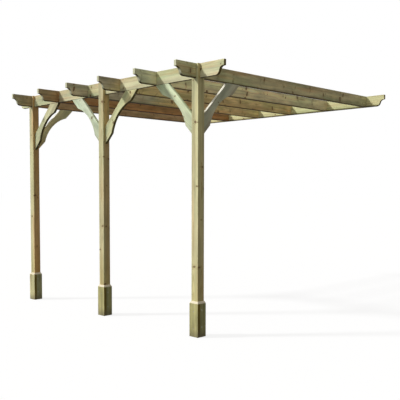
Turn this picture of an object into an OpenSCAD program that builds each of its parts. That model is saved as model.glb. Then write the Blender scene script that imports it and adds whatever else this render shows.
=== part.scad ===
// Lean-to garden pergola: three posts in a row carry a front beam, and six rafters run
// back from it to a beam that is fixed to a wall.
// X runs along the wall, +Y points into the wall and +Z is up.
// The origin is on the back face of the wall beam, at its middle.

/* [Overall] */
// Height from the ground to the top of the timbers
overall_height = 2900; // [2200:10:3500]
// Length of each rafter, from its shaped tip to the wall
rafter_length = 3800; // [2400:10:6000]
// Distance between the centres of neighbouring posts
post_spacing = 1625; // [1300:5:2400]

/* [Beams and rafters] */
// Depth of the beams and rafters, which all lie flush
timber_depth = 152; // [120:1:200]
// Thickness of the beams, rafters and knee braces
timber_thickness = 35; // [28:1:50]
// Number of rafters
rafter_count = 6; // [6]
// Reach of the rafters past the front of the front beam
rafter_overhang = 320; // [200:5:500]
// Reach of the front beam past the centre of each corner post
front_beam_overhang = 380; // [220:5:500]
// Reach of the wall beam past the centre line of each end rafter
wall_beam_overhang = 290; // [200:5:500]

/* [Shaped ends] */
// Height of the upright face at a shaped end
end_face = 63; // [40:1:80]
// Flat ledge between that face and the curve
end_ledge = 10; // [0:1:30]
// Angle to which the curve steepens halfway, from level
end_turn = 77; // [50:1:85]

/* [Posts] */
// Width of the square posts
post_width = 95; // [80:1:150]
// Clearance on each side of a timber in its slot or halving joint
joint_gap = 0.5; // [0:0.1:1]

/* [Feet] */
// Width of the square foot round each post
foot_width = 125; // [125:1:200]
// Height of the foot's upright sides
foot_height = 360; // [100:5:600]
// Height of the bevelled shoulder on top of them
shoulder_height = 25; // [5:1:60]
// Thickness of the shoulder's upper rim
shoulder_rim = 3; // [1:0.5:6]
// Clearance between the foot and the post inside it
foot_gap = 0.5; // [0.1:0.1:1]

/* [Knee braces] */
// Distance that a brace reaches along the beam and down the post
brace_reach = 605; // [450:5:620]
// Width of the board that a brace is sawn from
brace_width = 150; // [100:1:180]
// Length of the arch scooped from a brace's lower edge
scoop_length = 510; // [200:5:520]
// Depth of that arch
scoop_depth = 70; // [20:1:90]

/* [Hidden] */
arc_steps = 10;
overcut = 1;
sides = ["left", "middle", "right"];
post_count = len(sides);
rafter_spacing = (post_count - 1) * post_spacing / (rafter_count - 1);
top_z = timber_depth / 2;
soffit_z = -timber_depth / 2;
ground_z = top_z - overall_height;
front_y = rafter_overhang - rafter_length;
row_y = front_y + timber_thickness / 2;
slot_width = timber_thickness + 2 * joint_gap;
ogee_drop = timber_depth - end_face;
ogee_radius = ogee_drop / 2 / (1 - cos(end_turn));
ogee_run = ogee_radius * sin(end_turn);
sunlit = [0.80, 0.77, 0.60];
weathered = [0.62, 0.56, 0.42];
mossy = [0.66, 0.72, 0.60];
pale = [0.86, 0.82, 0.64];

RAFTERS = [for (i = [1 : rafter_count]) str("rafter_", i)];
POSTS = [for (side = sides) str("post_", side)];
FEET = [for (side = sides) str("foot_", side)];

function post_x(i) = (i - (post_count - 1) / 2) * post_spacing;
function rafter_x(i) = (i - (rafter_count - 1) / 2) * rafter_spacing;
function flipped(points) = [for (i = [len(points) - 1 : -1 : 0]) points[i]];

// Points on a circular arc, from one angle to another
function arc(centre, radius, from, to) = [
    for (i = [0 : arc_steps])
        let (angle = from + (to - from) * i / arc_steps)
            centre + radius * [cos(angle), sin(angle)]
];

// A shaped timber end: an S curve from the underside up to a ledge, then an upright face.
// The end is at 0 and the timber runs away from it.
function ogee_end() = concat(
    arc([end_ledge + 2 * ogee_run, ogee_radius], ogee_radius, 270, 270 - end_turn),
    arc([end_ledge, ogee_drop - ogee_radius], ogee_radius, 90 - end_turn, 90),
    [[0, ogee_drop], [0, timber_depth]]
);

// Side view of a beam with both ends shaped
function beam_outline(length) = concat(
    ogee_end(),
    [for (p = flipped(ogee_end())) [length - p.x, p.y]]
);

// Side view of a rafter with its front end shaped and its back end square
function rafter_outline() = concat(
    ogee_end(),
    [[rafter_length, timber_depth], [rafter_length, 0]]
);

// A board lying along X or along Y, with its thickness centred on that line
module board_along_x(outline, thickness) {
    rotate([90, 0, 0])
        linear_extrude(thickness, center = true) polygon(outline);
}

module board_along_y(outline, thickness) {
    rotate([90, 0, 90])
        linear_extrude(thickness, center = true) polygon(outline);
}

// A beam with a halving notch cut down into it for every rafter
module notched_beam(overhang, y) {
    length = (post_count - 1) * post_spacing + 2 * overhang;
    difference() {
        translate([-length / 2, y, soffit_z])
            board_along_x(beam_outline(length), timber_thickness);
        for (i = [0 : rafter_count - 1])
            translate([rafter_x(i) - slot_width / 2, y - timber_thickness, 0])
                cube([slot_width, 2 * timber_thickness, timber_depth]);
    }
}

// A rafter with a halving notch cut up into it over each beam
module rafter(i) {
    color(weathered)
    translate([rafter_x(i), 0, 0])
    difference() {
        translate([0, -rafter_length, soffit_z])
            board_along_y(rafter_outline(), timber_thickness);
        translate([-timber_thickness, front_y - joint_gap, -timber_depth])
            cube([2 * timber_thickness, slot_width, timber_depth]);
        translate([-timber_thickness, -timber_thickness - joint_gap, -timber_depth])
            cube([2 * timber_thickness, slot_width, timber_depth]);
    }
}

// A post with the front beam let down into its head; a corner post is slotted both ways
module post(i) {
    corner = i == 0 || i == post_count - 1;
    slot = 2 * post_width;
    color(sunlit)
    translate([post_x(i), row_y, 0])
    difference() {
        translate([-post_width / 2, -post_width / 2, ground_z])
            cube([post_width, post_width, overall_height]);
        translate([-slot / 2, -slot_width / 2, soffit_z])
            cube([slot, slot_width, timber_depth + overcut]);
        if (corner)
            translate([-slot_width / 2, -slot / 2, soffit_z])
                cube([slot_width, slot, timber_depth + overcut]);
    }
}

// The foot's outline in side view, with a bevelled shoulder
function foot_outline() =
    let (half = foot_width / 2, rim = post_width / 2 + foot_gap + shoulder_rim)
        [
            [-half, 0],
            [half, 0],
            [half, foot_height],
            [rim, foot_height + shoulder_height],
            [-rim, foot_height + shoulder_height],
            [-half, foot_height]
        ];

// A thick foot that wraps the bottom of a post
module foot(i) {
    inside = post_width + 2 * foot_gap;
    color(pale)
    translate([post_x(i), row_y, ground_z])
    difference() {
        intersection() {
            board_along_x(foot_outline(), foot_width);
            board_along_y(foot_outline(), foot_width);
        }
        translate([-inside / 2, -inside / 2, -overcut])
            cube([inside, inside, foot_height + shoulder_height + 2 * overcut]);
    }
}

// Side view of a knee brace: the beam is above it and the post is at its left.
// Its upper edge is straight and its lower edge has an arch between two shoulders.
function brace_outline() =
    let (
        inner_reach = brace_reach - brace_width * sqrt(2),
        radius = (pow(scoop_length / 2, 2) + pow(scoop_depth, 2)) / (2 * scoop_depth),
        half_angle = asin(scoop_length / 2 / radius),
        out = brace_reach / sqrt(2) - scoop_depth + radius,
        centre = out * [cos(45), -sin(45)]
    )
        concat(
            [[inner_reach, 0], [brace_reach, 0]],
            arc(centre, radius, 135 - half_angle, 135 + half_angle),
            [[0, -brace_reach], [0, -inner_reach]]
        );

// A brace beside a post, under the front beam; direction is 1 to the right, -1 to the left
module side_brace(i, direction) {
    color(mossy)
    translate([post_x(i), row_y, soffit_z])
    mirror([(1 - direction) / 2, 0, 0])
    translate([post_width / 2, 0, 0])
        board_along_x(brace_outline(), timber_thickness);
}

// A brace behind a corner post, under its rafter
module rear_brace(i) {
    color(mossy)
    translate([post_x(i), row_y + post_width / 2, soffit_z])
        board_along_y(brace_outline(), timber_thickness);
}

module front_beam() {
    color(sunlit) notched_beam(front_beam_overhang, row_y);
}

module wall_beam() {
    color(sunlit) notched_beam(wall_beam_overhang, -timber_thickness / 2);
}

for (i = [0 : post_count - 1]) {
    post(i);
    foot(i);
}
for (i = [0 : rafter_count - 1])
    rafter(i);
front_beam();
wall_beam();
side_brace(0, 1);  // brace_left
side_brace(1, -1);  // brace_middle_left
side_brace(1, 1);  // brace_middle_right
side_brace(2, -1);  // brace_right
rear_brace(0);  // brace_rear_left
rear_brace(2);  // brace_rear_right
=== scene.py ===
"""Lean-to wooden pergola of sawn, treated softwood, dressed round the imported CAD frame."""

import math
import random

import bmesh
import bpy
from mathutils import Matrix, Vector


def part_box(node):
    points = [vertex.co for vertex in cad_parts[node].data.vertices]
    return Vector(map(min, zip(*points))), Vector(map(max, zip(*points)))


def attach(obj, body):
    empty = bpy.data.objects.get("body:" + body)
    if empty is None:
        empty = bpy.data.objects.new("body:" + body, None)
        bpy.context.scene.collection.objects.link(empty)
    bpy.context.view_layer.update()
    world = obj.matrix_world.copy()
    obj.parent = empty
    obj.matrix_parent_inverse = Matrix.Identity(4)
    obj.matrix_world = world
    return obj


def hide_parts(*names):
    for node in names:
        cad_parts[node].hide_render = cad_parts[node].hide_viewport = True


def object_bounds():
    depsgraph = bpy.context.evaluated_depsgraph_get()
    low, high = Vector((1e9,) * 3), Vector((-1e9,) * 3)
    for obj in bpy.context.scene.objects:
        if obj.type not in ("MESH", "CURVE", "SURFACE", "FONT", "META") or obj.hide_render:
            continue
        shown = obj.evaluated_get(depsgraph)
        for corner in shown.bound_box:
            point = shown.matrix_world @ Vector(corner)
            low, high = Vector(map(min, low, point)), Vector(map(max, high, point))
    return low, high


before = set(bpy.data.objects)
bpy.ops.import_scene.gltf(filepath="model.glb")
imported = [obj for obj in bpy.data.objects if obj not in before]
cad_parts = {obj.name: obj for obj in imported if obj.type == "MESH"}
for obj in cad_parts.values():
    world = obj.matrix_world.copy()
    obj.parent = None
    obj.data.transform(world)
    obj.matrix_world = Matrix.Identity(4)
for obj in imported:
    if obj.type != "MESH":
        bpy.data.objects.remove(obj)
CAD_LOW, CAD_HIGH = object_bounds()

BODY = "root"
GROUND = CAD_LOW.z


# ---------------------------------------------------------------- shader arithmetic


class Value:
    """One output socket. Sums, products and powers on it add Math nodes."""

    def __init__(self, tree, socket):
        self.tree = tree
        self.socket = socket

    def node(self, kind, settings=None, sockets=None, output=0):
        """Adds any other node: its settings first, then its sockets' values or links."""
        return add_node(self.tree, kind, settings, sockets, output)

    def math(self, operation, *others):
        sockets = {place: value for place, value in enumerate((self, *others))}
        return self.node("ShaderNodeMath", {"operation": operation}, sockets)

    def __add__(self, other):
        return self.math("ADD", other)

    __radd__ = __add__

    def __mul__(self, other):
        return self.math("MULTIPLY", other)

    __rmul__ = __mul__

    def __sub__(self, other):
        return self.math("SUBTRACT", other)

    def __rsub__(self, other):
        return (self * -1.0) + other

    def __truediv__(self, other):
        return self.math("DIVIDE", other)

    def __pow__(self, other):
        return self.math("POWER", other)

    def between(self, low, high):
        """0 below low, 1 above high, and a soft step between them."""
        settings = {"interpolation_type": "SMOOTHSTEP"}
        sockets = {"Value": self, "From Min": low, "From Max": high}
        return self.node("ShaderNodeMapRange", settings, sockets)

    def mixed(self, first, second):
        """The colour first where this is 0 and second where it is 1."""
        settings = {"data_type": "RGBA", "clamp_factor": True}
        return self.node("ShaderNodeMix", settings, {0: self, 6: first, 7: second}, 2)

    def vector(self, operation, other, output=0):
        settings = {"operation": operation}
        return self.node("ShaderNodeVectorMath", settings, {0: self, 1: other}, output)

    def scaled(self, amount):
        settings = {"operation": "SCALE"}
        sockets = {0: self, "Scale": amount}
        return self.node("ShaderNodeVectorMath", settings, sockets)

    def parts(self):
        return [self.node("ShaderNodeSeparateXYZ", {}, {0: self}, k) for k in range(3)]

    def noise(self, scale, seed, detail=2.0, output=0):
        """Soft noise on this position, stretched by the three scales."""
        settings = {"noise_dimensions": "4D"}
        place = self.vector("MULTIPLY", scale)
        sockets = {"Vector": place, "W": seed, "Scale": 1.0, "Detail": detail}
        return self.node("ShaderNodeTexNoise", settings, sockets, output)


def add_node(tree, kind, settings=None, sockets=None, output=0):
    made = tree.nodes.new(kind)
    for name, value in (settings or {}).items():
        setattr(made, name, value)
    for place, value in (sockets or {}).items():
        if isinstance(value, Value):
            tree.links.new(value.socket, made.inputs[place])
        elif isinstance(value, tuple) and made.inputs[place].type == "RGBA":
            made.inputs[place].default_value = (*value, 1.0)
        else:
            made.inputs[place].default_value = value
    return None if output is None else Value(tree, made.outputs[output])


def new_material(name):
    """An empty material and its node tree."""
    material = bpy.data.materials.new(name)
    material.use_nodes = True
    material.node_tree.nodes.clear()
    return material, material.node_tree


def finish_surface(tree, shader):
    add_node(tree, "ShaderNodeOutputMaterial", {}, {"Surface": shader}, None)


# ---------------------------------------------------------------- wood


UP = Vector((0.0, 0.0, 1.0))
RIGHT = Vector((1.0, 0.0, 0.0))
BACK = Vector((0.0, 1.0, 0.0))
FRONT = -BACK

# Tints, which multiply a timber's own colour.
SUMMER = (0.70, 0.63, 0.52)
HEART = (0.97, 0.72, 0.60)
TREATED = (0.80, 0.93, 0.86)
# The next tint darkens faces that look down: painted shade.
UNDERSIDE_SHADE = (0.20, 0.15, 0.05)
SPIKE = (0.42, 0.36, 0.30)
# The next tint darkens a band along a board's lower edge: painted shade.
LOWER_EDGE_SHADE = (0.14, 0.10, 0.03)

# Colours that cover it.
KNOT_CORE = (0.20, 0.115, 0.05)
KNOT_RIM = (0.075, 0.045, 0.02)
SOIL = (0.15, 0.13, 0.08)

# Sizes of the wood's own pattern, in metres.
RING = 0.0052
WHORL_STEP = 0.37
KNOT_SMALLEST = 0.004
KNOT_MARGIN = 0.0005
KNOT_SWELLING = 0.010
POST_RADIUS = 0.05
SWAY = 0.05
HEART_EDGE = (0.035, 0.070)
HEART_WANDER = 0.06
TIP_FADE = 0.5
SPIKE_WIDTH = 0.022
SPIKE_WANDER = 0.12
LOWER_EDGE_SHADE_FADE = 0.010
LOWER_EDGE_SHADE_ROUGHNESS = (0.004, 0.006)
BAND_FADE = (0.012, 0.002)
SPLASH_HEIGHT = 0.10
SPLASH_WANDER = 0.10
BUMP_HEIGHT = 0.0012

# Its slants, bends and scatter.
TAPER = 0.006
RING_WAVE = 3.0
WHORL_SCATTER = 0.55
KNOT_SCATTER = 0.9
KNOT_LEAN = 0.6
KNOT_FADE = 0.02
NEXT_WHORL = 7.31
SPIKE_BOW = 4.0
SPIKE_LEAN = 1.5

# How strongly each mark shows.
SUMMER_SHARE = 0.55
BOARD_CONTRAST = 0.34
FIBRE_CONTRAST = 0.16
LOWER_EDGE_SHADE_SHARE = 0.85
KNOT_STAIN_SHARE = 0.5
KNOT_CORE_SHARE = 0.85
KNOT_RIM_SHARE = 0.7
UNDERSIDE_SHADE_SHARE = 0.95
SPLASH_SHARE = 0.6
BUMP_STRENGTH = 0.35
SUMMER_RELIEF = 0.35
FIBRE_RELIEF = 0.8
KNOT_RELIEF = 0.6
ROUGHNESS = 0.86
SUMMER_POLISH = 0.10
KNOT_POLISH = 0.12
SPECULAR_LEVEL = 0.3

# Where each pattern sets in, as the two ends of a soft step.
SUMMER_RISE = (0.35, 0.9)
SUMMER_FALL = (0.92, 1.0)
TREATED_STEP = (0.42, 0.66)
FLUSH_STEP = (0.5, 0.72)
BOARD_STEP = (0.25, 0.75)
FIBRE_STEP = (0.3, 0.7)
SPIKE_STEP = (0.46, 0.66)
KNOT_STAIN_STEP = (0.5, 4.0)
KNOT_CORE_STEP = (0.8, 1.2)
KNOT_RIM_STEP = (0.5, 0.95)
UNDERSIDE_STEP = (-0.45, -0.10)
END_STEP = (0.5, 0.9)
SIDE_STEP = (0.4, 0.6)
CUT_AND_HIGHLIGHT_STEP = (0.25, 0.4)

# Each noise's scales along, across and through the grain, its own seed and its detail.
NOISES = {
    "sway": ((0.9, 2.0, 2.0), 0.0, 1.0),
    "cloud": ((1.3, 6.0, 6.0), 11.0, 3.0),
    "growth": ((0.5, 9.0, 9.0), 3.0, 1.0),
    "fibre": ((5.0, 420.0, 420.0), 0.0, 3.0),
    "board": ((0.7, 30.0, 30.0), 7.0, 2.0),
    "flush": ((1.6, 17.0, 17.0), 23.0, 2.0),
    "patch": ((5.0, 13.0, 13.0), 31.0, 3.0),
}

# A timber's look, where its own maker below says nothing else.
USUAL_LOOK = {
    "shift": 0.0,
    "boxed": False,
    "knots": 0.45,
    "knot_step": 0.062,
    "knot_spread": 0.011,
    "knot_squeeze": 0.8,
    "stagger": 0.05,
    "heart": 0.6,
    "treated": 0.6,
    "flush": 0.3,
    "cloudy": 0.4,
    "figure": 1.0,
    "mottle": 0.0,
    "spikes": 0.0,
}


def tinted(colour, tint):
    return tuple(part * share for part, share in zip(colour, tint))


def stained(share, colour, tint):
    """A colour with a share of a tint laid over it."""
    if isinstance(colour, tuple):
        return share.mixed(colour, tinted(colour, tint))
    return share.mixed(colour, colour.vector("MULTIPLY", tint))


def object_position(tree):
    return add_node(tree, "ShaderNodeTexCoord", {}, {}, "Object")


def grain_position(tree, lie, middle):
    """Place along the grain, across the face and through the thickness of a timber."""
    along, across = lie
    rows = Matrix((along, across, along.cross(across)))
    turn = rows.to_euler()
    start = -(rows @ middle)
    spot = object_position(tree)
    sockets = {"Vector": spot, "Rotation": tuple(turn), "Location": tuple(start)}
    return spot.node("ShaderNodeMapping", {"vector_type": "POINT"}, sockets)


def nearest(place, spacing, randomness):
    """Distance to the nearest of a row of random marks, its place and its chance."""
    settings = {"voronoi_dimensions": "1D"}
    sockets = {"W": place, "Scale": 1.0, "Randomness": randomness}
    mark = place.node("ShaderNodeTexVoronoi", settings, sockets, "W")
    chance = place.node("ShaderNodeTexVoronoi", settings, sockets, "Color")
    return (place - mark) * spacing, mark, chance


def knots(along, around, look):
    """Branch knots in whorls: distance to the nearest, its radius, distance to its whorl."""
    row = along / WHORL_STEP + look["seed"]
    from_whorl, whorl, _ = nearest(row, WHORL_STEP, WHORL_SCATTER)
    step = look["knot_step"]
    ring = around / step + whorl * NEXT_WHORL
    far_around, _, chance = nearest(ring, step, KNOT_SCATTER)
    size, odds, lean = chance.parts()
    far_along = from_whorl + (lean - 0.5) * look["stagger"]
    far_along = far_along + far_around * (lean - 0.5) * KNOT_LEAN
    far_around = far_around * look["knot_squeeze"]
    distance = (far_along * far_along + far_around * far_around) ** 0.5
    present = 1.0 - odds.between(look["knots"], look["knots"] + KNOT_FADE)
    radius = (size * size * look["knot_spread"] + KNOT_SMALLEST) * present
    return distance, radius, from_whorl


class Grain:
    """One timber's pattern, as values over its surface."""

    def __init__(self, tree, lie, middle, look):
        self.seed = look["seed"]
        self.spot = grain_position(tree, lie, middle)
        self.along, self.across, self.through = self.spot.parts()
        self.find_pith(look)
        self.find_knots(look)
        self.cloud = self.noise("cloud")
        self.growth = self.noise("growth")
        self.find_rings()
        self.fibre = self.noise("fibre")
        self.board = self.noise("board")
        heart_span = self.span + (self.cloud - 0.5) * HEART_WANDER
        self.heart = 1.0 - heart_span.between(*HEART_EDGE)

    def noise(self, name, output=0):
        scale, own_seed, detail = NOISES[name]
        return self.spot.noise(scale, self.seed + own_seed, detail, output)

    def find_pith(self, look):
        """Distance from the tree's wandering middle."""
        pith_across, pith_through = look["pith"]
        self.sway_across, sway_through, _ = self.noise("sway", "Color").parts()
        self.from_pith = self.across - pith_across + (self.sway_across - 0.5) * SWAY
        self.behind_pith = self.through - pith_through + (sway_through - 0.5) * SWAY
        square = self.from_pith * self.from_pith + self.behind_pith * self.behind_pith
        self.span = square**0.5

    def find_knots(self, look):
        """How many radii away the nearest knot is, and the stain round it."""
        around = self.across
        if look["boxed"]:
            around = self.behind_pith.math("ARCTAN2", self.from_pith) * POST_RADIUS
        row = self.along + look["shift"]
        distance, radius, self.from_whorl = knots(row, around, look)
        self.reach = distance / (radius + KNOT_MARGIN)
        self.near_knot = 1.0 - self.reach.between(*KNOT_STAIN_STEP)
        self.core = 1.0 - self.reach.between(*KNOT_CORE_STEP)

    def find_rings(self):
        """The dark summer wood of each year's ring."""
        grown = self.span + self.along * TAPER + self.near_knot * KNOT_SWELLING
        ring = (grown / RING + self.growth * RING_WAVE).math("FRACT")
        self.summer = ring.between(*SUMMER_RISE) * (1.0 - ring.between(*SUMMER_FALL))


def heartwood_and_stain(grain, look):
    """A timber's colour from its base, its heartwood, its treatment and its rings."""
    colour = look["base"]
    if "tip" in look:
        place = look["tip"]["from"]
        from_end = grain.along + grain.cloud * TIP_FADE
        at_tip = 1.0 - from_end.between(place, place + TIP_FADE)
        colour = at_tip.mixed(colour, look["tip"]["base"])
    treated = grain.cloud.between(*TREATED_STEP) * look["treated"]
    flush = grain.noise("flush").between(*FLUSH_STEP)
    colour = stained(flush * look["flush"], colour, HEART)
    colour = stained(grain.heart * look["heart"], colour, HEART)
    colour = stained(treated, colour, TREATED)
    return stained(grain.summer * SUMMER_SHARE, colour, SUMMER)


def figure_shade(grain, look):
    """The lighter and darker streaks, clouds and mottling of a sawn face."""
    streaks = BOARD_CONTRAST * look["figure"]
    threads = FIBRE_CONTRAST * look["figure"]
    shade = (grain.board.between(*BOARD_STEP) - 0.5) * streaks
    shade = shade + (grain.fibre.between(*FIBRE_STEP) - 0.5) * threads + 1.0
    shade = shade * (1.0 + (grain.growth - 0.5) * look["cloudy"])
    if look["mottle"]:
        shade = shade * (1.0 + (grain.noise("patch") - 0.5) * look["mottle"])
    return shade


def with_spikes(colour, grain, amount):
    """Dark bowed streaks up the face, where branches lay just behind it."""
    across = grain.across
    bowed = grain.from_whorl + (grain.growth - 0.5) * SPIKE_WANDER
    bowed = bowed + across * across * SPIKE_BOW
    bowed = bowed + across * (grain.sway_across - 0.5) * SPIKE_LEAN
    spike = 1.0 - bowed.math("ABSOLUTE").between(0.0, SPIKE_WIDTH)
    spike = spike * grain.board.between(*SPIKE_STEP) * amount
    return stained(spike, colour, SPIKE)


def with_painted_lower_edge_shade(colour, grain, low_edge, reach_up):
    """A board's lower edge, darkened in a ragged band: painted shade."""
    by_fibre, by_growth = LOWER_EDGE_SHADE_ROUGHNESS
    height = grain.across + low_edge
    height = height + (grain.fibre - 0.5) * by_fibre + (grain.growth - 0.5) * by_growth
    painted_edge_shade = 1.0 - height.between(reach_up, reach_up + LOWER_EDGE_SHADE_FADE)
    return stained(painted_edge_shade * LOWER_EDGE_SHADE_SHARE, colour, LOWER_EDGE_SHADE)


def with_knots(colour, grain):
    rim = grain.core * grain.reach.between(*KNOT_RIM_STEP)
    colour = stained(grain.near_knot * KNOT_STAIN_SHARE, colour, SUMMER)
    colour = (grain.core * KNOT_CORE_SHARE).mixed(colour, KNOT_CORE)
    return (rim * KNOT_RIM_SHARE).mixed(colour, KNOT_RIM)


def sideways(facing):
    """1 on the faces that look left or right."""
    return facing.parts()[0].math("ABSOLUTE").between(*SIDE_STEP)


def with_sleeve_boards(colour, grain, facing, sleeve):
    """A foot's side boards, darkened partly as painted shade, and the darker edge of its
    front board beside them.
    """
    side, edge, joint = sleeve
    before, after = BAND_FADE
    board = grain.through.between(joint - before, joint + after).mixed(edge, side)
    return sideways(facing).mixed(colour, colour.vector("MULTIPLY", board))


def by_facing(colour, tree, grain, look):
    """Undersides darkened as painted shade, end grain, side faces tinted partly as painted
    shade, and fresh cuts, a painted highlight on the rear braces, by the way a face looks.
    """
    facing = add_node(tree, "ShaderNodeNewGeometry", {}, {}, "Normal")
    level = facing.parts()[2]
    # Faces that look down are darkened: painted shade.
    under = 1.0 - level.between(*UNDERSIDE_STEP)
    colour = stained(under * UNDERSIDE_SHADE_SHARE, colour, UNDERSIDE_SHADE)
    if "end" in look:
        way, end_grain = look["end"]
        end = facing.vector("DOT_PRODUCT", tuple(way), "Value")
        colour = end.between(*END_STEP).mixed(colour, end_grain)
    if "sleeve" in look:
        # Side boards darkened partly as painted shade.
        colour = with_sleeve_boards(colour, grain, facing, look["sleeve"])
    if "side" in look:
        # Left and right faces tinted darker and warmer: painted shade.
        on_side = sideways(facing)
        colour = on_side.mixed(colour, colour.vector("MULTIPLY", look["side"]))
    if "cut" in look:
        # Upward faces made pale: fresh cuts on the feet, a painted highlight on the rear
        # braces.
        colour = level.between(*CUT_AND_HIGHLIGHT_STEP).mixed(colour, look["cut"])
    return colour


def with_splashes(colour, tree, grain, ground):
    """Soil thrown up by rain on the lowest stretch above the ground."""
    height = object_position(tree).parts()[2]
    height = height - ground + (grain.cloud - 0.5) * SPLASH_WANDER
    splash = 1.0 - height.between(0.0, SPLASH_HEIGHT)
    return (splash * SPLASH_SHARE).mixed(colour, SOIL)


def wood(name, lie, middle, own_look):
    """Sawn softwood: growth rings round a pith, fibre, knots, stain and weathering."""
    material, tree = new_material(name)
    look = {**USUAL_LOOK, **own_look}
    grain = Grain(tree, lie, middle, look)
    colour = heartwood_and_stain(grain, look)
    colour = colour.scaled(figure_shade(grain, look))
    if look["spikes"]:
        colour = with_spikes(colour, grain, look["spikes"])
    # A dark band along the lower edge: painted shade.
    if "painted_edge_shade" in look:
        colour = with_painted_lower_edge_shade(colour, grain, *look["painted_edge_shade"])
    colour = with_knots(colour, grain)
    colour = by_facing(colour, tree, grain, look)
    if "ground" in look:
        colour = with_splashes(colour, tree, grain, look["ground"])

    relief = grain.summer * SUMMER_RELIEF + grain.fibre * FIBRE_RELIEF
    relief = relief - grain.core * KNOT_RELIEF
    bump = {"Strength": BUMP_STRENGTH, "Distance": BUMP_HEIGHT, "Height": relief}
    sockets = {
        "Base Color": colour,
        "Roughness": ROUGHNESS - grain.summer * SUMMER_POLISH - grain.core * KNOT_POLISH,
        "Normal": relief.node("ShaderNodeBump", {}, bump),
        "Specular IOR Level": SPECULAR_LEVEL,
    }
    finish_surface(tree, add_node(tree, "ShaderNodeBsdfPrincipled", {}, sockets))
    return material


# ---------------------------------------------------------------- timbers


# Easing of the timbers' edges. Every length from here on is in metres.
ARRIS = 0.0025
FOOT_ARRIS = 0.0013
ARRIS_STEPS = 2
MERGE = 0.00001
FLAT_ANGLE = math.radians(0.5)
CURVE_ANGLE = math.radians(20)
SQUARE = math.cos(math.radians(1))

# Drying checks.
CHECK_SIDES = 12
CHECK_RINGS = 10
CHECK_WIDTHS = (0.0011, 0.0021)
CHECK_DEPTH = 0.009
CHECK_BEND = 0.004
CHECK_WAVE = 2.6

# Countersunk screws.
ROUND_SIDES = 24
SINK_RADIUS = 0.0062
SINK_DEPTH = 0.0055
SINK_PROUD = 0.0005
BORE_RADIUS = 0.0026
HEAD_RADIUS = 0.0050
HEAD_HEIGHT = 0.0040
HEAD_DROP = 0.0006
RECESS_MARGIN = 0.0019
RECESS_DEPTH = 0.0022
LOBES = 6
LOBE_DEPTH = 0.22
SHANK_RADIUS = 0.0021
SHANK_LENGTH = 0.012

# Every random draw comes from here, in the order that the pieces are made.
MARKS = random.Random(41)


def round_off(mesh, flat_ways):
    """Smooth shading on every face that doesn't lie square to one of flat_ways."""
    mesh.set_sharp_from_angle(angle=CURVE_ANGLE)
    for face in mesh.polygons:
        face.use_smooth = all(abs(face.normal.dot(way)) < SQUARE for way in flat_ways)


def new_piece(name, shape, material, flat_ways):
    """A finished piece at the origin, riding on the pergola's one body."""
    mesh = bpy.data.meshes.new(name)
    shape.to_mesh(mesh)
    shape.free()
    mesh.materials.append(material)
    round_off(mesh, flat_ways)
    piece = bpy.data.objects.new(name, mesh)
    bpy.context.scene.collection.objects.link(piece)
    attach(piece, BODY)
    return piece


def middle_of(node):
    low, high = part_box(node)
    return (low + high) / 2


def size_of(node):
    low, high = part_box(node)
    return high - low


def turn_to(way):
    """The turn that points the third axis along way."""
    return way.to_track_quat("Z", "Y").to_matrix().to_4x4()


def add_check(shape, place, along, outward, length, width):
    """A drying check to cut out: a thin lens, a little bent, half sunk in the face."""
    made = bmesh.ops.create_uvsphere(
        shape, u_segments=CHECK_SIDES, v_segments=CHECK_RINGS, radius=1.0
    )
    side = outward.cross(along)
    bend = MARKS.uniform(-CHECK_BEND, CHECK_BEND)
    for vert in made["verts"]:
        reach = vert.co.z
        wander = bend * math.sin(reach * CHECK_WAVE)
        offset = along * (reach * length / 2)
        offset += side * (vert.co.x * width / 2 + wander)
        offset += outward * (vert.co.y * CHECK_DEPTH)
        vert.co = place + offset


def add_cone(shape, place, way, wide, narrow, top, depth):
    """A round cutter or screw part: wide at top above place, narrow at its depth."""
    middle = Matrix.Translation(place + way * (top - depth / 2))
    return bmesh.ops.create_cone(
        shape,
        cap_ends=True,
        segments=ROUND_SIDES,
        radius1=narrow,
        radius2=wide,
        depth=depth,
        matrix=middle @ turn_to(way),
    )


def face_towards(way, made):
    """The face of a newly made shape that lies furthest that way."""
    faces = {face for vert in made["verts"] for face in vert.link_faces}
    return max(faces, key=lambda each: each.calc_center_median().dot(way))


def push_out(shape, face, move):
    """Extrudes a face along a move."""
    grown = bmesh.ops.extrude_face_region(shape, geom=[face])
    end = [part for part in grown["geom"] if isinstance(part, bmesh.types.BMVert)]
    bmesh.ops.translate(shape, verts=end, vec=move)


def add_sink(shape, place, way):
    """A countersink and the screw's bore below it, as one cutter."""
    made = add_cone(shape, place, way, SINK_RADIUS, BORE_RADIUS, SINK_PROUD, SINK_DEPTH)
    inner = face_towards(-way, made)
    push_out(shape, inner, -way * SHANK_LENGTH)
    bmesh.ops.delete(shape, geom=[inner], context="FACES_ONLY")


def add_groove(shape, low, high):
    """A thin block to cut out between two boards."""
    size = high - low
    place = Matrix.Translation((low + high) / 2) @ Matrix.Diagonal((*size, 1.0))
    bmesh.ops.create_cube(shape, size=1.0, matrix=place)


def add_screw(shape, place, way):
    """A countersunk screw with a six-lobed recess, just below the face."""
    face = place - way * HEAD_DROP
    made = add_cone(shape, face, way, HEAD_RADIUS, SHANK_RADIUS, 0.0, HEAD_HEIGHT)
    head = face_towards(way, made)
    bmesh.ops.inset_region(
        shape, faces=[head], thickness=RECESS_MARGIN, use_even_offset=True
    )
    centre = head.calc_center_median()
    for step, vert in enumerate(head.verts):
        wave = (1 + math.cos(step * math.tau * LOBES / ROUND_SIDES)) / 2
        vert.co = centre + (vert.co - centre) * (1.0 - LOBE_DEPTH * wave)
    push_out(shape, head, -way * RECESS_DEPTH)
    bmesh.ops.delete(shape, geom=[head], context="FACES")
    add_cone(shape, face, way, SHANK_RADIUS, SHANK_RADIUS, -HEAD_HEIGHT, SHANK_LENGTH)


def as_mesh(shape):
    mesh = bpy.data.meshes.new("part")
    shape.to_mesh(mesh)
    return mesh


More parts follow.
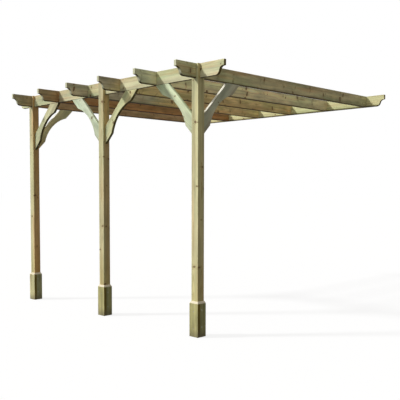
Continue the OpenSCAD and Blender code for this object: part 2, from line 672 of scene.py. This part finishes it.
def cut(shape, cutters):
    """A new shape: the old one with the cutters taken out of it."""
    tools = bmesh.new()
    for cutter in cutters:
        tools.from_mesh(cutter)
    scene = bpy.context.scene
    tool = bpy.data.objects.new("cutters", as_mesh(tools))
    block = bpy.data.objects.new("block", as_mesh(shape))
    scene.collection.objects.link(tool)
    scene.collection.objects.link(block)
    change = block.modifiers.new("carve", "BOOLEAN")
    change.operation = "DIFFERENCE"
    change.solver = "EXACT"
    change.object = tool
    view = bpy.context.evaluated_depsgraph_get()
    result = bmesh.new()
    result.from_mesh(bpy.data.meshes.new_from_object(block.evaluated_get(view)))
    bpy.data.objects.remove(tool)
    bpy.data.objects.remove(block)
    bmesh.ops.remove_doubles(result, verts=result.verts, dist=MERGE)
    return result


def is_sound(shape):
    closed = all(edge.is_manifold for edge in shape.edges)
    return closed and shape.calc_volume(signed=True) > 0


def carve(shape, cutters):
    """The shape with the cutters taken out, but for any that would spoil it."""
    carved = cut(shape, cutters)
    if is_sound(carved):
        return carved
    for cutter in cutters:
        tried = cut(shape, [cutter])
        if is_sound(tried):
            shape = tried
    return shape


def ease(shape, edges, amount):
    bmesh.ops.bevel(
        shape,
        geom=edges,
        offset=amount,
        offset_type="OFFSET",
        segments=ARRIS_STEPS,
        profile=0.5,
        affect="EDGES",
        material=-1,
        clamp_overlap=True,
    )


def eased(node):
    """The CAD timber's shape with its arrises eased."""
    shape = bmesh.new()
    shape.from_mesh(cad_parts[node].data)
    bmesh.ops.remove_doubles(shape, verts=shape.verts, dist=MERGE)
    bmesh.ops.dissolve_limit(
        shape, angle_limit=FLAT_ANGLE, verts=shape.verts, edges=shape.edges
    )
    sharp = [edge for edge in shape.edges if edge.calc_face_angle(0.0) > CURVE_ANGLE]
    ease(shape, sharp, FOOT_ARRIS if node.startswith("foot") else ARRIS)
    return shape


def timber(node, lie, look, checks=(), screws=(), grooves=()):
    """A CAD timber again: eased, checked by drying, drilled, and in its own wood."""
    shape = eased(node)
    cutters = []
    for place, outward, length in checks:
        lens = bmesh.new()
        width = MARKS.uniform(*CHECK_WIDTHS)
        add_check(lens, place, lie[0], outward, length, width)
        cutters.append(as_mesh(lens))
    for place, way in screws:
        sink = bmesh.new()
        add_sink(sink, place, way)
        cutters.append(as_mesh(sink))
    for start, end in grooves:
        groove = bmesh.new()
        add_groove(groove, start, end)
        cutters.append(as_mesh(groove))
    if cutters:
        shape = carve(shape, cutters)
    material = wood(f"{node}_wood", lie, middle_of(node), look)
    flat_ways = (*lie, lie[0].cross(lie[1]))
    piece = new_piece(f"{node}_timber", shape, material, flat_ways)
    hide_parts(node)
    if screws:
        heads = bmesh.new()
        for place, way in screws:
            add_screw(heads, place, way)
        ways = [way for _, way in screws]
        new_piece(f"{node}_screws", heads, SCREW_METAL, ways)


CHECKED_LENGTH = 0.86
CHECK_PLACES = (0.3, 0.7)
CHECK_STRAY = 0.3


def half_size(size, way):
    """Half a timber's size along one of its axes."""
    return Vector([part * abs(share) for part, share in zip(size, way)]).length / 2


def checks_on(node, lie, faces, count, lengths):
    """Random drying checks along the given faces of a timber."""
    size = size_of(node)
    along = lie[0]
    reach = half_size(size, along) * 2 * CHECKED_LENGTH
    found = []
    for place in range(count):
        outward = faces[place % len(faces)]
        side = outward.cross(along)
        start = (place + MARKS.uniform(*CHECK_PLACES)) / count - 0.5
        spot = middle_of(node) + outward * half_size(size, outward)
        spot += side * MARKS.uniform(-CHECK_STRAY, CHECK_STRAY) * half_size(size, side)
        spot += along * start * reach
        found.append((spot, outward, MARKS.uniform(*lengths)))
    return found


DULL_ZINC = (0.32, 0.31, 0.27)
BRIGHT_ZINC = (0.52, 0.51, 0.46)
ZINC_SPECKS = (420.0, 420.0, 420.0)
ZINC_STEP = (0.35, 0.7)
ZINC_METALLIC = 0.9
ZINC_ROUGHNESS = 0.28
ZINC_WEAR = 0.3


def screw_material():
    """Dull zinc in small lighter and darker specks."""
    material, tree = new_material("screw_zinc")
    wear = object_position(tree).noise(ZINC_SPECKS, 2.0, 3.0)
    sockets = {
        "Base Color": wear.between(*ZINC_STEP).mixed(DULL_ZINC, BRIGHT_ZINC),
        "Metallic": ZINC_METALLIC,
        "Roughness": wear * ZINC_WEAR + ZINC_ROUGHNESS,
    }
    finish_surface(tree, add_node(tree, "ShaderNodeBsdfPrincipled", {}, sockets))
    return material


SCREW_METAL = screw_material()


# ---------------------------------------------------------------- pergola


POST_BASE = (0.68, 0.635, 0.375)
# The next tint darkens and warms the posts' left and right faces: painted shade.
POST_SIDE_SHADE = (0.91, 0.85, 0.75)
POST_LOWER = (0.63, 0.565, 0.29)
FOOT_BASE = (0.49, 0.455, 0.21)
FAR_FOOT_BASE = (0.59, 0.55, 0.30)
# The next tint is the feet's side boards' tone, darker partly as painted shade.
FOOT_SIDE_BOARDS_AND_SHADE = (0.68, 0.75, 0.74)
FOOT_EDGE = (0.34, 0.27, 0.08)
FRESH_CUT = (0.83, 0.75, 0.56)

POST_CHECKS = (0.16, 0.42)
BOARD_CHECKS = (0.12, 0.30)
FOOT_BOARD = 0.043
BOARD_GAP = 0.0007
GROOVE_DEPTH = 0.003
GROOVE_BELOW = 0.01
SHOULDER_HEIGHT = 0.026
FOOT_SCREW_LOW = 0.09
FOOT_SCREW_HIGH = 0.11
FOOT_SCREW_STAGGER = 0.02
HEAD_SCREW_LOW = 0.035
HEAD_SCREW_HIGH = 0.045
HEAD_SCREW_SPREAD = 0.34

POST_LOOKS = {
    "left": {"seed": 1.0, "pith": (0.040, 0.005), "heart": 1.0},
    "middle": {"seed": 2.0, "pith": (0.010, 0.012), "heart": 0.5},
    "right": {"seed": 3.0, "pith": (-0.012, 0.008), "heart": 0.4},
}


def foot_screws(node):
    """Two screws up the front of a foot and two up its right side."""
    low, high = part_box(node)
    middle = middle_of(node)
    heights = (low.z + FOOT_SCREW_LOW, high.z - FOOT_SCREW_HIGH)
    front = [(Vector((middle.x, low.y, z)), FRONT) for z in heights]
    side = [
        (Vector((high.x, middle.y, z + FOOT_SCREW_STAGGER)), RIGHT) for z in heights
    ]
    return front + side


def sleeve_grooves(node, edge):
    """The joints between a foot's side boards and its front and back boards."""
    low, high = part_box(node)
    bottom = low.z - GROOVE_BELOW
    top = high.z - SHOULDER_HEIGHT
    found = []
    for side in (low.x, high.x):
        for row in (low.y + FOOT_BOARD, high.y - edge):
            start = Vector((side - GROOVE_DEPTH, row - BOARD_GAP / 2, bottom))
            end = Vector((side + GROOVE_DEPTH, row + BOARD_GAP / 2, top))
            found.append((start, end))
    return found


def head_screws(node):
    """Screws through the front cheek of a post's head into the beam behind it."""
    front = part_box(node)[0].y
    beam_low, beam_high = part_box("front_beam")
    across = size_of(node).x * HEAD_SCREW_SPREAD
    middle = middle_of(node).x
    heights = (beam_low.z + HEAD_SCREW_LOW, beam_high.z - HEAD_SCREW_HIGH)
    return [
        (Vector((middle + side * across, front, z)), FRONT)
        for side, z in zip((-1, 1), heights)
    ]


def make_post(side, own_look):
    lie = (UP, RIGHT)
    node = f"post_{side}"
    look = {
        "base": POST_BASE,
        "tip": {"base": POST_LOWER, "from": -0.75},
        "boxed": True,
        "knots": 0.5,
        "treated": 0.4,
        "cloudy": 0.8,
        "side": POST_SIDE_SHADE,
        "mottle": 0.5,
        **own_look,
    }
    checks = checks_on(node, lie, (FRONT, RIGHT, BACK, -RIGHT), 8, POST_CHECKS)
    timber(node, lie, look, checks, head_screws(node))


def make_foot(side, post_seed):
    node = f"foot_{side}"
    width = size_of(node).y
    look = {
        "base": FAR_FOOT_BASE if side == "left" else FOOT_BASE,
        "seed": post_seed + 4.0,
        "pith": (0.01, 0.02),
        "boxed": True,
        "knots": 0.3,
        "heart": 0.2,
        "treated": 0.4,
        "figure": 1.3,
        "mottle": 1.2,
        "cut": FRESH_CUT,
        "ground": GROUND,
        "sleeve": (FOOT_SIDE_BOARDS_AND_SHADE, FOOT_EDGE, FOOT_BOARD - width / 2),
    }
    grooves = sleeve_grooves(node, (width - size_of(f"post_{side}").x) / 2)
    timber(node, (UP, RIGHT), look, (), foot_screws(node), grooves)


def make_posts():
    for side, own_look in POST_LOOKS.items():
        make_post(side, own_look)
        make_foot(side, own_look["seed"])


BEAM_BASE = (0.73, 0.71, 0.455)
WALL_BEAM_BASE = (0.72, 0.70, 0.39)


def make_beams():
    lie = (RIGHT, UP)
    half_depth = size_of("front_beam").z / 2
    look = {
        "base": BEAM_BASE,
        "seed": 11.0,
        "pith": (0.06, 0.05),
        "heart": 0.45,
        "treated": 1.0,
        "flush": 0.6,
        "mottle": 0.5,
        # The right end's end grain, in the undersides' painted-shade tint.
        "end": (RIGHT, tinted(BEAM_BASE, UNDERSIDE_SHADE)),
        # The lower edge's dark band is painted shade.
        "painted_edge_shade": (half_depth, -0.002),
    }
    checks = checks_on("front_beam", lie, (FRONT, BACK), 6, BOARD_CHECKS)
    timber("front_beam", lie, look, checks)
    look = {
        "base": WALL_BEAM_BASE,
        "seed": 12.0,
        "pith": (-0.03, 0.07),
        "heart": 0.3,
        # The right end's end grain, in the undersides' painted-shade tint.
        "end": (RIGHT, tinted(BEAM_BASE, UNDERSIDE_SHADE)),
        # The lower edge's dark band is painted shade.
        "painted_edge_shade": (half_depth, 0.014),
    }
    checks = checks_on("wall_beam", lie, (FRONT,), 4, BOARD_CHECKS)
    timber("wall_beam", lie, look, checks)


COACH_PLACES = (-1.3, -0.65, 0.0, 0.65, 1.3)
COACH_RISE = 0.034
WASHER_RADIUS = 0.0118
WASHER_FACE_RADIUS = 0.0105
WASHER_PROUD = 0.0020
WASHER_DEPTH = 0.0022
COACH_HEAD_RADIUS = 0.0075
COACH_HEAD_DEPTH = 0.0056
COACH_HEAD_MIDDLE = 0.0047
COACH_HEAD_BEVEL = 0.0007


def add_coach_head(shape, face):
    """A hexagon head in front of its washer, turned as it happened to stop."""
    turn = Matrix.Rotation(MARKS.uniform(0, 1), 4, "Y")
    middle = Matrix.Translation(face + FRONT * COACH_HEAD_MIDDLE)
    head = bmesh.ops.create_cone(
        shape,
        cap_ends=True,
        segments=6,
        radius1=COACH_HEAD_RADIUS,
        radius2=COACH_HEAD_RADIUS,
        depth=COACH_HEAD_DEPTH,
        matrix=middle @ turn @ turn_to(FRONT),
    )
    rim = {edge for vert in head["verts"] for edge in vert.link_edges}
    ease(shape, list(rim), COACH_HEAD_BEVEL)


def make_coach_screws():
    """Hexagon-headed coach screws and washers that hold the wall beam to its wall."""
    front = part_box("wall_beam")[0].y
    height = middle_of("wall_beam").z + COACH_RISE
    shape = bmesh.new()
    for across in COACH_PLACES:
        face = Vector((across, front, height))
        radii = (WASHER_FACE_RADIUS, WASHER_RADIUS)
        add_cone(shape, face, FRONT, *radii, WASHER_PROUD, WASHER_DEPTH)
        add_coach_head(shape, face)
    new_piece("wall_beam_bolts", shape, SCREW_METAL, (FRONT,))


TIP_END = (0.64, 0.64, 0.44)
# Each rafter's colour, its front end's colour and how far back that reaches. The colour
# behind the front end is redder partly as painted shade and warm bounce light under the
# roof.
RAFTER_TONES = (
    ((0.60, 0.42, 0.22), (0.48, 0.41, 0.26), 0.25),
    ((0.49, 0.265, 0.11), (0.36, 0.28, 0.15), 0.25),
    ((0.88, 0.68, 0.34), (0.52, 0.48, 0.34), 1.6),
    ((0.80, 0.63, 0.31), (0.50, 0.46, 0.32), 0.25),
    ((0.88, 0.79, 0.49), (0.61, 0.66, 0.46), 0.25),
    ((0.66, 0.585, 0.33), (0.575, 0.575, 0.325), 0.25),
)


def rafter_screws(node):
    """One screw down through a rafter into each beam it rests on."""
    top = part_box(node)[1].z
    beams = [middle_of(beam) for beam in ("front_beam", "wall_beam")]
    return [(Vector((middle_of(node).x, beam.y, top)), UP) for beam in beams]


def make_rafters():
    lie = (BACK, UP)
    half = size_of("rafter_1") / 2
    for place, (base, tip, tip_length) in enumerate(RAFTER_TONES):
        node = f"rafter_{place + 1}"
        look = {
            "base": base,
            # The redder colour behind the front end is partly painted shade and warm bounce
            # light.
            "tip": {"base": tip, "from": tip_length - half.y},
            "end": (FRONT, TIP_END),
            "seed": 21.0 + place,
            "shift": place * 6.13,
            "pith": (-0.05 + 0.02 * place, -0.05),
            "knot_step": 0.075,
            "knot_spread": 0.016,
            "knot_squeeze": 0.5,
            "stagger": 0.16,
            "treated": 0.8,
            "flush": 0.6,
            "spikes": 0.5,
            # The lower edge's dark band is painted shade.
            "painted_edge_shade": (half.z, 0.006),
            "cloudy": 0.8,
            "figure": 1.5,
            "mottle": 1.3,
        }
        checks = checks_on(node, lie, (RIGHT, -RIGHT), 6, BOARD_CHECKS)
        timber(node, lie, look, checks, rafter_screws(node))


# The next colour lightens the rear braces' upward faces: a painted highlight.
TOP_PAINTED_HIGHLIGHT = (0.84, 0.82, 0.70)
# Each brace's way from its post, its foot's colour and its head's. Most heads are lighter:
# painted light over the shadows on the braces' upper ends.
BRACES = {
    "brace_left": (RIGHT, (0.57, 0.57, 0.36), (0.59, 0.59, 0.37)),
    "brace_middle_left": (-RIGHT, (0.58, 0.63, 0.46), (0.70, 0.76, 0.58)),
    "brace_middle_right": (RIGHT, (0.60, 0.61, 0.36), (0.70, 0.72, 0.41)),
    "brace_right": (-RIGHT, (0.66, 0.71, 0.49), (0.74, 0.84, 0.57)),
    "brace_rear_left": (BACK, (0.82, 0.79, 0.47), (0.82, 0.79, 0.47)),
    "brace_rear_right": (BACK, (0.52, 0.52, 0.38), (0.65, 0.63, 0.48)),
}
SCREW_FROM_TIP = 0.055


def brace_screws(node, way):
    """Screws square through a brace's two shoulders into the post and the beam."""
    size = size_of(node)
    reach = size.z
    corner = middle_of(node) + UP * (reach / 2) - way * half_size(size, way)
    outward = (way - UP).normalized()
    upper = corner + way * (reach - SCREW_FROM_TIP) - UP * SCREW_FROM_TIP
    lower = corner + way * SCREW_FROM_TIP - UP * (reach - SCREW_FROM_TIP)
    return [(upper, outward), (lower, outward)]


def make_braces():
    for place, (node, (way, foot_end, painted_light_head)) in enumerate(BRACES.items()):
        along = (way + UP).normalized()
        across = (UP - way).normalized()
        look = {
            # The head's lighter colour is painted light.
            "base": painted_light_head,
            "tip": {"base": foot_end, "from": -0.1},
            "seed": 31.0 + place,
            "shift": place * 3.07,
            "pith": (0.02, 0.06),
            "heart": 0.2,
            "cloudy": 0.6,
            "figure": 0.6,
            "mottle": 1.0,
        }
        if way == BACK:
            # Upward faces pale: a painted highlight.
            look["cut"] = TOP_PAINTED_HIGHLIGHT
        lie = (along, across)
        timber(node, lie, look, (), brace_screws(node, way))


# ---------------------------------------------------------------- stage


EYE = (6.3452, -8.3325, -1.2432)
EYE_TURN = (math.radians(90 - 2.981), 0.0, math.radians(46.162))
EYE_LENS = 57.2
EYE_SHIFT = (0.0625, 0.0559)

SUN_FROM = Vector((-0.85, -1.0, 0.98))
SUN_POWER = 2.7
SUN_SIZE = math.radians(6)
SKY_FROM = Vector((-0.35, -1.0, 0.1))
SKY_POWER = 0.75
SKY_SIZE = math.radians(100)
FILL = 0.42
FILL_COLOUR = (1.0, 0.97, 0.92)
WHITE = (1.0, 1.0, 1.0)
FLOOR_GLOW = 1.03
FLOOR_PALE = (0.9, 0.9, 0.9)
FLOOR_DULL = (0.03, 0.03, 0.025)
FLOOR_SHADOW = 0.2
FLOOR_HALF = 120.0
FLOOR_DROP = 0.001
FARTHEST = 500.0


def seen_directly(tree):
    """1 for rays that see the background itself, or see it in gloss or glass."""
    names = ("Is Camera Ray", "Is Glossy Ray", "Is Transmission Ray")
    camera, glossy, through = [
        add_node(tree, "ShaderNodeLightPath", {}, {}, name) for name in names
    ]
    return (camera + glossy + through).math("MINIMUM", 1.0)


def make_camera():
    data = bpy.data.cameras.new("camera")
    data.lens = EYE_LENS
    data.shift_x, data.shift_y = EYE_SHIFT
    data.clip_end = FARTHEST
    camera = bpy.data.objects.new("camera", data)
    camera.location = EYE
    camera.rotation_euler = EYE_TURN
    bpy.context.scene.collection.objects.link(camera)
    bpy.context.scene.camera = camera


def add_sun(name, direction, power, size):
    sun = bpy.data.lights.new(name, "SUN")
    sun.energy = power
    sun.angle = size
    lamp = bpy.data.objects.new(name, sun)
    lamp.rotation_euler = direction.to_track_quat("Z", "Y").to_euler()
    bpy.context.scene.collection.objects.link(lamp)


def make_lights():
    add_sun("sun", SUN_FROM, SUN_POWER, SUN_SIZE)
    add_sun("open_sky", SKY_FROM, SKY_POWER, SKY_SIZE)
    world = bpy.data.worlds.new("world")
    world.use_nodes = True
    tree = world.node_tree
    tree.nodes.clear()
    fill = {"Color": FILL_COLOUR, "Strength": FILL}
    white = {"Color": WHITE, "Strength": 1.0}
    soft = add_node(tree, "ShaderNodeBackground", {}, fill)
    plain = add_node(tree, "ShaderNodeBackground", {}, white)
    sockets = {0: seen_directly(tree), 1: soft, 2: plain}
    both = add_node(tree, "ShaderNodeMixShader", {}, sockets)
    add_node(tree, "ShaderNodeOutputWorld", {}, {"Surface": both}, None)
    bpy.context.scene.world = world


def floor_material():
    """White to look at, with the pergola's soft shadow, and dull in what it reflects."""
    material, tree = new_material("pale_floor")
    white = {"Color": WHITE, "Strength": FLOOR_GLOW}
    glow = add_node(tree, "ShaderNodeEmission", {}, white)
    pale = add_node(tree, "ShaderNodeBsdfDiffuse", {}, {"Color": FLOOR_PALE})
    dull = add_node(tree, "ShaderNodeBsdfDiffuse", {}, {"Color": FLOOR_DULL})
    sockets = {0: FLOOR_SHADOW, 1: glow, 2: pale}
    look = add_node(tree, "ShaderNodeMixShader", {}, sockets)
    sockets = {0: seen_directly(tree), 1: dull, 2: look}
    above = add_node(tree, "ShaderNodeMixShader", {}, sockets)
    below = add_node(tree, "ShaderNodeBsdfTransparent", {}, {})
    behind = add_node(tree, "ShaderNodeNewGeometry", {}, {}, "Backfacing")
    sockets = {0: behind, 1: above, 2: below}
    finish_surface(tree, add_node(tree, "ShaderNodeMixShader", {}, sockets))
    return material


def make_floor():
    shape = bmesh.new()
    bmesh.ops.create_grid(shape, x_segments=1, y_segments=1, size=FLOOR_HALF)
    bmesh.ops.translate(shape, verts=shape.verts, vec=(0, 0, GROUND - FLOOR_DROP))
    mesh = bpy.data.meshes.new("floor")
    shape.to_mesh(mesh)
    shape.free()
    mesh.materials.append(floor_material())
    floor = bpy.data.objects.new("floor", mesh)
    bpy.context.scene.collection.objects.link(floor)


bpy.context.scene.view_settings.view_transform = "Standard"
make_camera()
make_lights()
make_floor()
make_posts()
make_beams()
make_coach_screws()
make_rafters()
make_braces()
